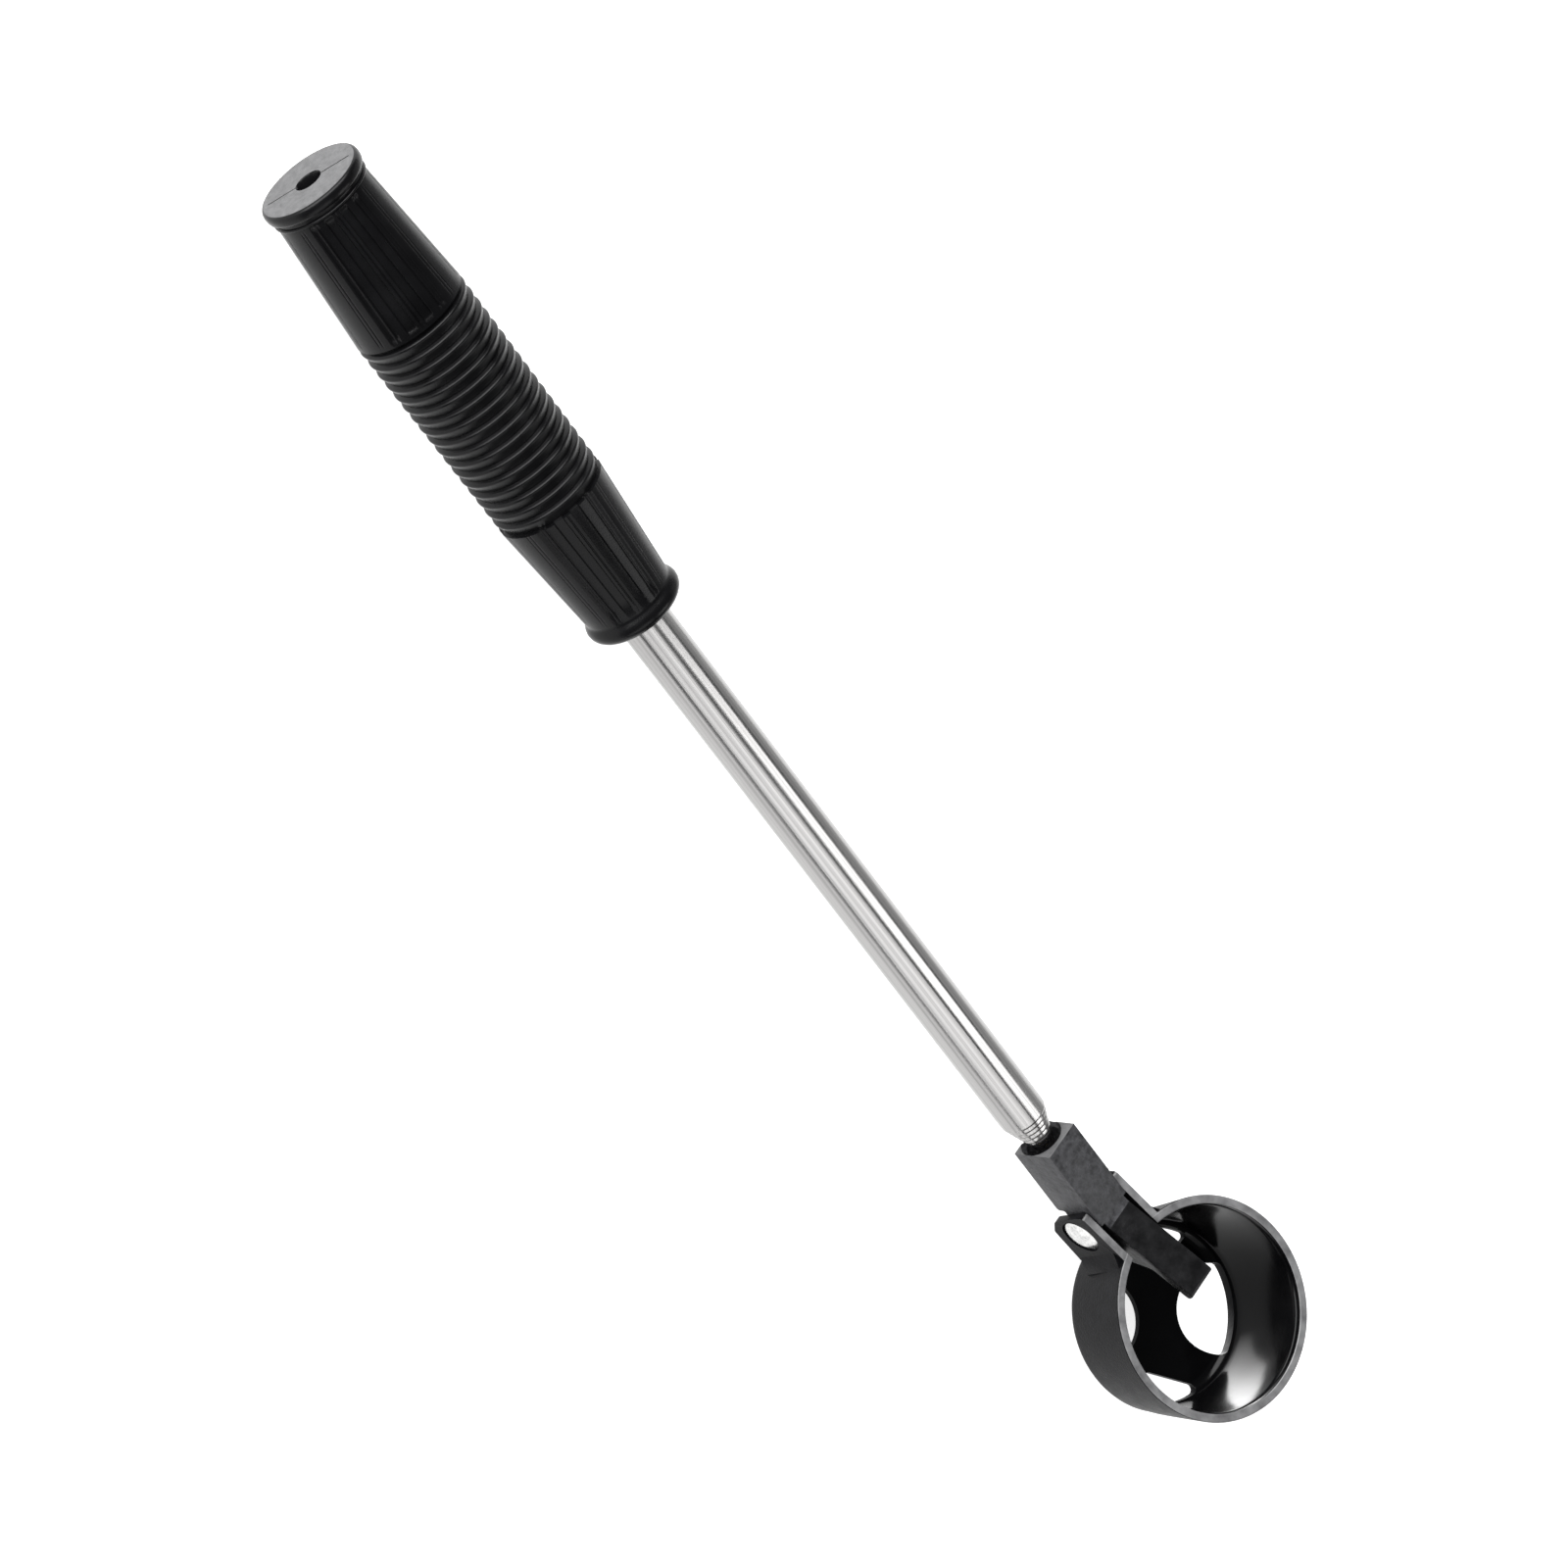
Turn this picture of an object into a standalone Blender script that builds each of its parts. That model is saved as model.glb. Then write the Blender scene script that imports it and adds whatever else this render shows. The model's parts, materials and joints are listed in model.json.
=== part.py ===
"""Telescopic golf ball retriever: grip, eight nested sections, socket arm and sprung ring cup.

Row frame: +X runs along the shaft from the butt to the ring, +Z is up, and the closed tool lies on
z = 0 with the ring's mouth facing up. The origin is under the middle of the whole object.
Lengths below are in millimetres along the shaft from the butt face, heights are from the shaft's
axis, and mm() turns them into metres in the row frame.
"""

import math

import bmesh
import bpy
from mathutils import Vector

# ---------------------------------------------------------------- driving dimensions (millimetres)
SECTIONS = 8                  # outer tube, six inner tubes and the rod
SEGMENTS = 24                 # facets round the shaft, the same on every nested piece

GRIP_LENGTH = 119.6
GRIP_BORE = 5.62              # radius of the hole that takes the outer tube
BUTT_WALL = 4.0
BUTT_HOLE = 2.65              # radius
RIB_START = 35.2
RIB_END = 84.6
RIB_COUNT = 17
RIB_RADIUS = 12.45            # crest radius at the butt end of the ribbed zone
RIB_RADIUS_END = 12.15        # crest radius at its front end
RIB_DEPTH = 0.7

TUBE_RADIUS = 5.5             # outer tube
RADIUS_STEP = 0.45            # each section is this much thinner than the one round it
WALL = 0.22
NOSE_GAP = 0.08               # running clearance in a swaged nose
NOSE_TIP = 271.2              # front end of the outer tube
NOSE_PITCH = 1.35             # each nested nose stands out by this much
NOSE_LENGTH = 1.25
OUTER_REAR = 5.0              # rear end of the outer tube
INNER_REAR = 13.0             # rear end of section 2
REAR_PITCH = 5.6              # each section's rear end sits this far ahead of the last one's
NECK_LENGTH = 5.0             # necked rear end that carries the friction collar
NECK_WALL = 0.16
COLLAR_INNER = 0.13           # collar bore, below the section's own radius
COLLAR_OUTER = 0.15           # collar outside, above the section's own radius
COLLAR_LENGTH = 4.4
ROD_END = 297.5
STUD_RADIUS = 1.6             # thinner front end of the rod, screwed into its bush

ARM_MOUTH = 278.6             # open end of the socket arm
ARM_HALF_WIDTH = 4.97
ARM_TOP = 6.5
ARM_BOTTOM = -4.6
ARM_BORE = 4.25
ARM_BORE_DEPTH = 13.0
BUSH_LENGTH = 6.0
BUSH_RADIUS = 3.4
TONGUE_HALF_WIDTH = 4.0
TONGUE_TIP = (323.9, 17.95)   # top corner of the tongue's end, along and up
TONGUE_ANGLE = math.radians(27.6)
TONGUE_THICKNESS = 2.6
TONGUE_ROOT = 10.5            # length of its straight underside
STOP_REACH = (-28.6, -24.9)   # where the arm's stop lies over the cup's web, forward in the ring

PIN = (303.3, -0.5)           # rivet axis, along and up
PIN_RADIUS = 2.0
PIN_HOLE = 2.3
SPRING_SLOT = 2.6             # half width of the slot that holds the spring
SPRING_TURNS = 5
SPRING_WIRE = 0.35            # wire radius
SPRING_RADIUS = 3.05          # to the middle of the wire

RING_CENTRE = (332.9, 14.8)   # centre of the rim plane, along and up
RING_TILT = math.radians(14.86)
RING_SEGMENTS = 48
RIM_RADIUS = 25.0
RIM_WALL = 2.0
CUP_DEPTH = 23.6
CUP_FLOOR = 1.5
FLOOR_SHIFT = -1.2            # the cup's floor is this far forward of the rim's centre
RIB_HALF = 0.9                # half width of the back's cross ribs, near the middle
RIB_FLARE = 0.047             # how fast a rib widens toward the wall, per millimetre squared
WINDOW_CORNER = 9.2           # radius of a large window's inner corner
WINDOW_RADIUS = 20.4          # outer edge of the windows, round the floor's centre
WEB_TOP = -13.2               # top of the web between the ears, below the rim plane
EAR_INNER = 5.25
EAR_OUTER = 7.0
EAR_END = -38.0               # rear end of the ears, from the ring's centre
FLARE_SPAN = (-14.6, -0.2)    # bottom and top of the gussets between the ears and the wall
RIVET_HEAD = 4.25             # radius
GAP = 0.3                     # clearance between touching pieces

CLEAR = 0.05                  # how far a cutter passes its target's face


# The cup is a lathe-like stack of circles: (depth below the rim, radius, shift from the rim's axis)
CUP_OUTSIDE = (
    (0.0, RIM_RADIUS, 0.0),
    (10.0, 23.85, -0.5),
    (20.4, 22.55, -1.05),
    (22.4, 21.6, FLOOR_SHIFT),
    (23.3, 20.2, FLOOR_SHIFT),
    (CUP_DEPTH, 18.6, FLOOR_SHIFT),
)
CUP_INSIDE = (
    (0.0, RIM_RADIUS - RIM_WALL, 0.0),
    (10.0, 22.1, -0.5),
    (18.6, 21.1, -0.95),
    (21.0, 20.1, FLOOR_SHIFT),
    (CUP_DEPTH - CUP_FLOOR, 18.2, FLOOR_SHIFT),
)


def cup_reach():
    """Lowest height and furthest point of the tilted cup, in shaft coordinates."""
    cos, sin = math.cos(RING_TILT), math.sin(RING_TILT)
    low = min(RING_CENTRE[1] + (shift - radius) * sin - depth * cos for depth, radius, shift in CUP_OUTSIDE)
    far = max(RING_CENTRE[0] + (shift + radius) * cos + depth * sin for depth, radius, shift in CUP_OUTSIDE)
    return low, far


SHAFT_HEIGHT = -cup_reach()[0]
MIDDLE = cup_reach()[1] / 2.0


# ---------------------------------------------------------------- frames and small helpers
def mm(along, side=0.0, up=0.0):
    """Shaft coordinates in millimetres to a point in the row frame."""
    return Vector((along - MIDDLE, side, up + SHAFT_HEIGHT)) * 0.001


def ring_point(forward, side, above):
    """Ring coordinates in millimetres (forward, side, above the rim plane) to shaft coordinates."""
    cos, sin = math.cos(RING_TILT), math.sin(RING_TILT)
    along = RING_CENTRE[0] + forward * cos - above * sin
    up = RING_CENTRE[1] + forward * sin + above * cos
    return along, side, up


def section_radius(index):
    return TUBE_RADIUS - (index - 1) * RADIUS_STEP


def nose_tip(index):
    return NOSE_TIP + (index - 1) * NOSE_PITCH


def rear_end(index):
    return OUTER_REAR if index == 1 else INNER_REAR + (index - 2) * REAR_PITCH


def clear_scene():
    for obj in list(bpy.data.objects):
        bpy.data.objects.remove(obj, do_unlink=True)


def material(name, colour, roughness, metallic=0.0):
    mat = bpy.data.materials.get(name)
    if mat:
        return mat
    mat = bpy.data.materials.new(name)
    mat.use_nodes = True
    shader = mat.node_tree.nodes["Principled BSDF"]
    shader.inputs["Base Color"].default_value = (*colour, 1.0)
    shader.inputs["Roughness"].default_value = roughness
    shader.inputs["Metallic"].default_value = metallic
    return mat


def steel():
    return material("stainless_steel", (0.62, 0.61, 0.60), 0.28, 1.0)


def black_plastic():
    return material("black_plastic", (0.022, 0.022, 0.024), 0.38)


def grey_plastic():
    return material("charcoal_plastic", (0.06, 0.06, 0.065), 0.6)


def grip_rubber():
    return material("grip_rubber", (0.018, 0.018, 0.02), 0.5)


def brass():
    return material("brass", (0.72, 0.55, 0.28), 0.35, 1.0)


def nylon():
    return material("nylon", (0.75, 0.74, 0.70), 0.55)


def add_object(name, mesh, mat, parent, smooth_angle=35.0):
    mesh.materials.append(mat)
    mesh.shade_smooth()
    mesh.set_sharp_from_angle(angle=math.radians(smooth_angle))
    obj = bpy.data.objects.new(name, mesh)
    bpy.context.scene.collection.objects.link(obj)
    obj.parent = parent
    obj.matrix_parent_inverse = parent.matrix_world.inverted()
    return obj


def empty(name, place, parent=None):
    obj = bpy.data.objects.new(name, None)
    obj.empty_display_size = 0.01
    bpy.context.scene.collection.objects.link(obj)
    obj.location = place
    bpy.context.view_layer.update()
    if parent:
        obj.parent = parent
        obj.matrix_parent_inverse = parent.matrix_world.inverted()
    bpy.context.view_layer.update()
    return obj


def mesh_from(bm, name):
    bmesh.ops.recalc_face_normals(bm, faces=bm.faces)
    mesh = bpy.data.meshes.new(name)
    bm.to_mesh(mesh)
    bm.free()
    return mesh


def stack(bm, loops, close=False):
    """Skin a stack of equal point loops; close joins the last loop to the first, else both are capped."""
    rings = [[bm.verts.new(point) for point in loop] for loop in loops]
    pairs = list(zip(rings, rings[1:]))
    if close:
        pairs.append((rings[-1], rings[0]))
    for low, high in pairs:
        for i in range(len(low)):
            j = (i + 1) % len(low)
            bm.faces.new((low[i], low[j], high[j], high[i]))
    if not close:
        bm.faces.new(rings[0])
        bm.faces.new(rings[-1])
    return rings


def circle_x(along, radius, count=SEGMENTS):
    """Points of a circle round the shaft's axis."""
    turns = [2.0 * math.pi * i / count for i in range(count)]
    return [mm(along, radius * math.cos(a), radius * math.sin(a)) for a in turns]


def turned(name, profile, closed=False, count=SEGMENTS):
    """Mesh turned about the shaft's axis from (along, radius) points; closed for a hollow section."""
    bm = bmesh.new()
    stack(bm, [circle_x(along, radius, count) for along, radius in profile], close=closed)
    return mesh_from(bm, name)


def circle_y(centre, radius, side, count=24):
    """Points of a circle round an axis across the shaft."""
    turns = [2.0 * math.pi * i / count for i in range(count)]
    return [mm(centre[0] + radius * math.cos(a), side, centre[1] + radius * math.sin(a)) for a in turns]


def turned_y(name, centre, profile, closed=False, count=24):
    """Mesh turned about an axis across the shaft from (side, radius) points."""
    bm = bmesh.new()
    stack(bm, [circle_y(centre, radius, side, count) for side, radius in profile], close=closed)
    return mesh_from(bm, name)


def plate(name, outline, side_low, side_high):
    """Mesh of a flat outline of (along, up) points, extruded across the shaft."""
    bm = bmesh.new()
    loops = [[mm(along, side, up) for along, up in outline] for side in (side_low, side_high)]
    stack(bm, loops)
    return mesh_from(bm, name)


def cutter(name, mesh):
    obj = bpy.data.objects.new(name, mesh)
    bpy.context.scene.collection.objects.link(obj)
    obj.hide_render = True
    obj.display_type = "WIRE"
    return obj


def boolean(obj, other, operation):
    mod = obj.modifiers.new(other.name, "BOOLEAN")
    mod.operation = operation
    mod.solver = "EXACT"
    mod.object = other


def arc_points(centre, radius, start, end, steps):
    """Points on an arc, angles in degrees."""
    points = []
    for i in range(steps + 1):
        a = math.radians(start + (end - start) * i / steps)
        points.append((centre[0] + radius * math.cos(a), centre[1] + radius * math.sin(a)))
    return points


# ---------------------------------------------------------------- handle
def grip_profile():
    """Outside of the grip from the butt to the front flange, then back along its bore."""
    points = [(0.0, BUTT_HOLE), (0.0, 10.7), (0.35, 11.1), (1.1, 11.3), (2.3, 11.15), (3.0, 10.45)]
    points += [(3.7, 10.35), (4.2, 10.5), (13.0, 11.05), (25.0, 11.85), (34.3, 12.45), (34.5, 11.9)]
    pitch = (RIB_END - RIB_START) / RIB_COUNT
    for i in range(RIB_COUNT):
        start = RIB_START + i * pitch
        crest = RIB_RADIUS + (RIB_RADIUS_END - RIB_RADIUS) * i / (RIB_COUNT - 1)
        points += [(start, crest - RIB_DEPTH), (start + 0.5, crest), (start + 1.5, crest - 0.12)]
    points += [(RIB_END, 11.6), (RIB_END + 0.2, 12.15), (95.9, 11.4), (107.0, 10.6), (112.8, 10.15)]
    points += [(113.6, 10.4), (114.6, 10.95), (116.0, 11.0), (117.6, 10.6), (118.9, 9.7)]
    points += [(GRIP_LENGTH, 8.6), (GRIP_LENGTH, GRIP_BORE), (BUTT_WALL, GRIP_BORE), (BUTT_WALL, BUTT_HOLE)]
    return points


def make_grip(parent):
    add_object("grip", turned("grip", grip_profile(), closed=True), grip_rubber(), parent)


def make_tube(index, parent):
    radius = section_radius(index)
    inner = radius - WALL
    next_radius = section_radius(index + 1)
    tip, rear = nose_tip(index), rear_end(index)
    nose_in = next_radius + NOSE_GAP
    nose_out = nose_in + WALL
    shoulder = tip - NOSE_LENGTH
    outside = [(shoulder, radius), (tip - 0.45, nose_out + 0.02), (tip, nose_out - 0.06)]
    inside = [(tip, nose_in), (tip - 0.45, nose_in), (shoulder - 0.1, inner)]
    if index == 1:
        profile = [(rear, radius), *outside, *inside, (rear, inner)]
    else:
        neck_in = next_radius + NOSE_GAP
        neck_out = neck_in + NECK_WALL
        neck = rear + NECK_LENGTH
        profile = [(rear, neck_out), (neck, neck_out), (neck + 0.4, radius), *outside, *inside]
        profile += [(neck + 0.4, inner), (neck, neck_in), (rear, neck_in)]
    name = "tube_%d" % index
    return add_object(name, turned(name, profile, closed=True), steel(), parent)


def make_collar(index, parent):
    radius = section_radius(index)
    rear = rear_end(index) + (NECK_LENGTH - COLLAR_LENGTH) / 2.0
    front = rear + COLLAR_LENGTH
    inner, outer = radius - COLLAR_INNER, radius + COLLAR_OUTER
    profile = [(rear, inner), (rear, outer), (front, outer), (front, inner)]
    name = "collar_%d" % index
    add_object(name, turned(name, profile, closed=True), brass(), parent)


def make_plug(parent):
    inner = TUBE_RADIUS - WALL - 0.15
    profile = [(OUTER_REAR + 0.6, inner), (OUTER_REAR + 5.6, inner), (OUTER_REAR + 6.4, inner - 0.8)]
    add_object("tube_plug", turned("tube_plug", profile), nylon(), parent)


# ---------------------------------------------------------------- head
def make_rod(parent):
    """Solid innermost section: necked at the rear for its collar, with a thinner stud at the front."""
    radius = section_radius(SECTIONS)
    rear = rear_end(SECTIONS)
    neck = rear + NECK_LENGTH
    neck_radius = radius - COLLAR_INNER - 0.08
    stud = ROD_END - BUSH_LENGTH
    profile = [(rear, neck_radius - 0.3), (rear + 0.3, neck_radius)]
    profile += [(neck, neck_radius), (neck + 0.4, radius)]
    profile += [(stud - 0.6, radius), (stud - 0.3, STUD_RADIUS)]
    profile += [(ROD_END - 0.4, STUD_RADIUS), (ROD_END, STUD_RADIUS - 0.4)]
    name = "rod_%d" % SECTIONS
    add_object(name, turned(name, profile), steel(), parent)


def make_bush(parent):
    """Threaded insert in the bottom of the socket."""
    front = ARM_MOUTH + ARM_BORE_DEPTH + BUSH_LENGTH - GAP
    rear = ARM_MOUTH + ARM_BORE_DEPTH
    outer = BUSH_RADIUS - 0.15
    inner = STUD_RADIUS + 0.15
    profile = [(rear, inner), (rear, outer), (front, outer), (front, inner)]
    add_object("rod_bush", turned("rod_bush", profile, closed=True), brass(), parent)


def arm_outline():
    """Side view of the arm: socket, stepped underside, root of the tongue and the bent tongue."""
    tip_x, tip_z = TONGUE_TIP
    run = Vector((math.cos(TONGUE_ANGLE), math.sin(TONGUE_ANGLE)))
    down = Vector((run.y, -run.x))
    bend_x = tip_x - (tip_z - ARM_TOP) / math.tan(TONGUE_ANGLE)
    low_tip = Vector(TONGUE_TIP) + down * TONGUE_THICKNESS
    root = low_tip - run * TONGUE_ROOT
    stop = [ring_point(forward, 0.0, WEB_TOP + GAP) for forward in STOP_REACH]
    outline = [(ARM_MOUTH, ARM_BOTTOM), (296.7, ARM_BOTTOM), (297.2, ARM_BOTTOM + 0.6), (297.2, -2.55)]
    outline += arc_points(PIN, 4.1, -150.0, -62.0, 5)
    outline += [(along, up) for along, _, up in stop]
    outline += [(312.4, 1.2), tuple(root), tuple(low_tip), (tip_x, tip_z)]
    outline += [(bend_x + 1.2, ARM_TOP + 1.2 * math.tan(TONGUE_ANGLE)), (bend_x - 2.2, ARM_TOP)]
    outline += [(ARM_MOUTH, ARM_TOP)]
    return outline


def make_arm(parent):
    blank = plate("socket_arm", arm_outline(), -ARM_HALF_WIDTH, ARM_HALF_WIDTH)
    arm = add_object("socket_arm", blank, grey_plastic(), parent)
    shoulder = [(301.5, 5.6), (312.0, 3.9), (330.0, 3.9), (330.0, 25.0), (301.5, 12.0)]
    for sign in (-1, 1):
        sides = sorted((sign * TONGUE_HALF_WIDTH, sign * (ARM_HALF_WIDTH + 1.0)))
        trim = plate("trim", shoulder, *sides)
        boolean(arm, cutter("tongue_trim_%d" % sign, trim), "DIFFERENCE")
    mouth, depth = ARM_MOUTH, ARM_BORE_DEPTH
    bore = [(mouth - 1.0, 5.2), (mouth + CLEAR, 5.0), (mouth + 1.1, ARM_BORE), (mouth + depth, ARM_BORE)]
    bore += [(mouth + depth, BUSH_RADIUS), (mouth + depth + BUSH_LENGTH, BUSH_RADIUS)]
    boolean(arm, cutter("arm_bore", turned("arm_bore", bore)), "DIFFERENCE")
    hole = turned_y("pin_hole", PIN, [(-8.0, PIN_HOLE), (8.0, PIN_HOLE)])
    boolean(arm, cutter("arm_pin_hole", hole), "DIFFERENCE")
    pocket = turned_y("pocket", PIN, [(-SPRING_SLOT, 4.3), (SPRING_SLOT, 4.3)])
    boolean(arm, cutter("spring_pocket", pocket), "DIFFERENCE")


def make_spring(parent):
    """Torsion spring wound round the rivet."""
    sides, per_turn = 6, 12
    steps = SPRING_TURNS * per_turn
    length = 2.0 * (SPRING_SLOT - SPRING_WIRE - GAP)
    loops = []
    for i in range(steps + 1):
        turn = 2.0 * math.pi * i / per_turn
        side = -length / 2.0 + length * i / steps
        loop = []
        for k in range(sides):
            a = 2.0 * math.pi * k / sides
            radius = SPRING_RADIUS + SPRING_WIRE * math.cos(a)
            along = PIN[0] + radius * math.cos(turn)
            up = PIN[1] + radius * math.sin(turn)
            loop.append(mm(along, side + SPRING_WIRE * math.sin(a), up))
        loops.append(loop)
    bm = bmesh.new()
    stack(bm, loops)
    add_object("torsion_spring", mesh_from(bm, "torsion_spring"), steel(), parent)


# ---------------------------------------------------------------- ring cup
def cup_loop(depth, radius, shift):
    turns = [2.0 * math.pi * i / RING_SEGMENTS for i in range(RING_SEGMENTS)]
    return [mm(*ring_point(shift + radius * math.cos(a), radius * math.sin(a), -depth)) for a in turns]


def ring_prism(name, outline, low, high):
    """Mesh of a flat outline of (forward, side) ring points, extruded along the ring's axis."""
    bm = bmesh.new()
    stack(bm, [[mm(*ring_point(f, s, above)) for f, s in outline] for above in (low, high)])
    return mesh_from(bm, name)


def quarter_window():
    """Outline of a large window: a wide inner corner, two ribs that widen outward and an outer arc."""
    straight = RIB_HALF + WINDOW_CORNER
    inner = arc_points((straight, straight), WINDOW_CORNER, 180.0, 270.0, 6)
    rib = [(reach, RIB_HALF + RIB_FLARE * (reach - straight) ** 2) for reach in (12.5, 15.0, 17.2)]
    outer = arc_points((FLOOR_SHIFT, 0.0), WINDOW_RADIUS, 19.0, 69.0, 6)
    return inner + rib + [(18.5, 4.7)] + outer + [(3.9, 19.0), (2.7, 18.1), (2.0, 16.6), (1.2, 13.5)]


def cut_off_window():
    """Outline of a small window, cut off by a straight edge across the ribs' corner."""
    outer = arc_points((FLOOR_SHIFT, 0.0), WINDOW_RADIUS, -22.0, -68.0, 6)
    return [(5.6, -11.7), (17.2, -5.7), (18.3, -5.7)] + outer + [(5.9, -18.6), (5.3, -17.4)]


def window_outlines():
    """Two large and two small windows, each pair opposite one another about the ribs' crossing."""
    large, small = quarter_window(), cut_off_window()
    return {
        "far_right": large,
        "near_left": [(-forward, -side) for forward, side in large],
        "near_right": small,
        "far_left": [(-forward, -side) for forward, side in small],
    }


def ear_outline():
    """Side view of one ear in ring coordinates (forward, above the rim plane)."""
    outline = [(EAR_END + 0.9, -0.1), (EAR_END, -1.8), (EAR_END, -9.6)]
    outline += [(EAR_END + 0.9, -12.4), (EAR_END + 3.0, -14.0), (-22.6, -15.6), (-22.6, -0.1)]
    return outline


def gate_outline():
    """Side view of the space between the ears, which leaves a stop web under the arm."""
    return [(-42.0, 2.0), (-42.0, -18.0), (-27.2, -18.0), (-27.2, WEB_TOP), (-17.0, WEB_TOP), (-17.0, 2.0)]


def ring_slab(name, outline, half_width):
    """Mesh of a (forward, above) ring outline, extruded across the shaft."""
    bm = bmesh.new()
    stack(bm, [[mm(*ring_point(f, side, w)) for f, w in outline] for side in (-half_width, half_width)])
    return mesh_from(bm, name)


def make_cup(parent):
    bm = bmesh.new()
    loops = [cup_loop(*row) for row in CUP_OUTSIDE[::-1]] + [cup_loop(*row) for row in CUP_INSIDE]
    stack(bm, loops)
    cup = add_object("ring_cup", mesh_from(bm, "ring_cup"), black_plastic(), parent)
    boolean(cup, cutter("ears", ring_slab("ears", ear_outline(), EAR_OUTER)), "UNION")
    for sign in (-1, 1):
        flare = [(-28.6, sign * (EAR_OUTER - 0.4)), (-22.0, sign * 10.66), (-20.8, sign * 10.3)]
        flare += [(-22.3, sign * 6.1), (-27.6, sign * 6.1)]
        boolean(cup, cutter("ear_flare_%d" % sign, ring_prism("flare", flare, *FLARE_SPAN)), "UNION")
    boolean(cup, cutter("arm_gate", ring_slab("arm_gate", gate_outline(), EAR_INNER)), "DIFFERENCE")
    for name, outline in window_outlines().items():
        window = ring_prism(name, outline, -CUP_DEPTH - 2.0, -17.0)
        boolean(cup, cutter("window_" + name, window), "DIFFERENCE")
    hole = turned_y("ear_hole", PIN, [(-9.0, PIN_HOLE), (9.0, PIN_HOLE)])
    boolean(cup, cutter("ear_hole", hole), "DIFFERENCE")
    recess = turned_y("recess", PIN, [(-9.0, RIVET_HEAD + 0.35), (-EAR_OUTER + 0.5, RIVET_HEAD + 0.35)])
    boolean(cup, cutter("rivet_recess", recess), "DIFFERENCE")


def make_rivet(parent):
    """Domed head on the near ear, plain shank, formed tail beyond the washer."""
    seat = -EAR_OUTER + 0.5 - 0.05
    profile = [(seat - 0.75, 2.2), (seat - 0.6, 3.4), (seat - 0.3, RIVET_HEAD - 0.1), (seat, RIVET_HEAD)]
    profile += [(seat, PIN_RADIUS), (EAR_OUTER + 0.9, PIN_RADIUS), (EAR_OUTER + 0.9, 3.0)]
    profile += [(EAR_OUTER + 1.5, 2.7), (EAR_OUTER + 1.8, 1.8)]
    add_object("pivot_rivet", turned_y("pivot_rivet", PIN, profile), steel(), parent)


def make_washer(parent):
    low, high = EAR_OUTER + 0.1, EAR_OUTER + 0.8
    profile = [(low, PIN_HOLE), (low, 4.0), (high, 4.0), (high, PIN_HOLE)]
    add_object("rivet_washer", turned_y("rivet_washer", PIN, profile, closed=True), steel(), parent)


# ---------------------------------------------------------------- assembly
def main():
    clear_scene()
    handle = empty("handle_frame", mm(0.0))
    make_grip(handle)
    make_tube(1, handle)
    make_plug(handle)
    parent = handle
    for index in range(2, SECTIONS):
        parent = empty("section_%d_slide" % index, mm(rear_end(index)), parent)
        make_tube(index, parent)
        make_collar(index, parent)
    head = empty("section_%d_slide" % SECTIONS, mm(rear_end(SECTIONS)), parent)
    make_rod(head)
    make_collar(SECTIONS, head)
    make_bush(head)
    make_arm(head)
    make_spring(head)
    ring = empty("ring_pivot", mm(PIN[0], 0.0, PIN[1]), head)
    make_cup(ring)
    make_rivet(ring)
    make_washer(ring)
    bpy.context.view_layer.update()


main()
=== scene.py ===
"""Looks of the telescopic golf ball retriever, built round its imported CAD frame.

Every fine piece below stands for one CAD node and keeps its size and place. Sizes are in
millimetres: "along" runs along the shaft from the butt face, "side" across it and "up" from the
shaft's axis. The cup is drawn in ring coordinates: forward, side and above the rim's plane.
Lights are in metres, and noise scales are features per metre.
"""

import json
import math

import bmesh
import bpy
from mathutils import Matrix, Vector


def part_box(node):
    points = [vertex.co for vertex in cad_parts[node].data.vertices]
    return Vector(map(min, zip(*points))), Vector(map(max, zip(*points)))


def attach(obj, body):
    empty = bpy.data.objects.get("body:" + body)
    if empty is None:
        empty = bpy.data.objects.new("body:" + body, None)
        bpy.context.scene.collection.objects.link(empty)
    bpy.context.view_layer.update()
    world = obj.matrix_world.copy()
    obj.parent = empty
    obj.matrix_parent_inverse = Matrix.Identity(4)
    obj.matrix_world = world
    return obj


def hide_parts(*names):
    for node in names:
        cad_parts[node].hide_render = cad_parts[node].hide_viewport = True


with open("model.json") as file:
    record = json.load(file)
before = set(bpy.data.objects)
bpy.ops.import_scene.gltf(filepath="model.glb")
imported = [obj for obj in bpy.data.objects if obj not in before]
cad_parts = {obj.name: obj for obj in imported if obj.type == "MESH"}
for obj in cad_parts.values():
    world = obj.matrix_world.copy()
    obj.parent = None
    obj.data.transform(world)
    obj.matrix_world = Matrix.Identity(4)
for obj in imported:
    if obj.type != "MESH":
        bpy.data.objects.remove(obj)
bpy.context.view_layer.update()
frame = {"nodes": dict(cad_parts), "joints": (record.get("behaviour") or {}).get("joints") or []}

# ---------------------------------------------------------------- where things are, from the frame
MM = 0.001
GRIP_LOW, GRIP_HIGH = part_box("grip")
CUP_LOW, CUP_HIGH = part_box("ring_cup")
BUTT = GRIP_LOW.x
AXIS_UP = (GRIP_LOW.z + GRIP_HIGH.z) / 2.0
PIVOT = [joint for joint in frame["joints"] if joint["name"] == "ring_pivot"][0]["pos_m"]
PIN = ((PIVOT[0] - BUTT) / MM, (PIVOT[2] - AXIS_UP) / MM)

RING_TILT = math.radians(14.86)
RING_CENTRE = (PIN[0] + 29.6, PIN[1] + 15.3)
RIM_RADIUS = (CUP_HIGH.y - CUP_LOW.y) / 2.0 / MM
RIM_WALL = 2.0
CUP_DEPTH = 23.6
CUP_FLOOR = 1.5


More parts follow.
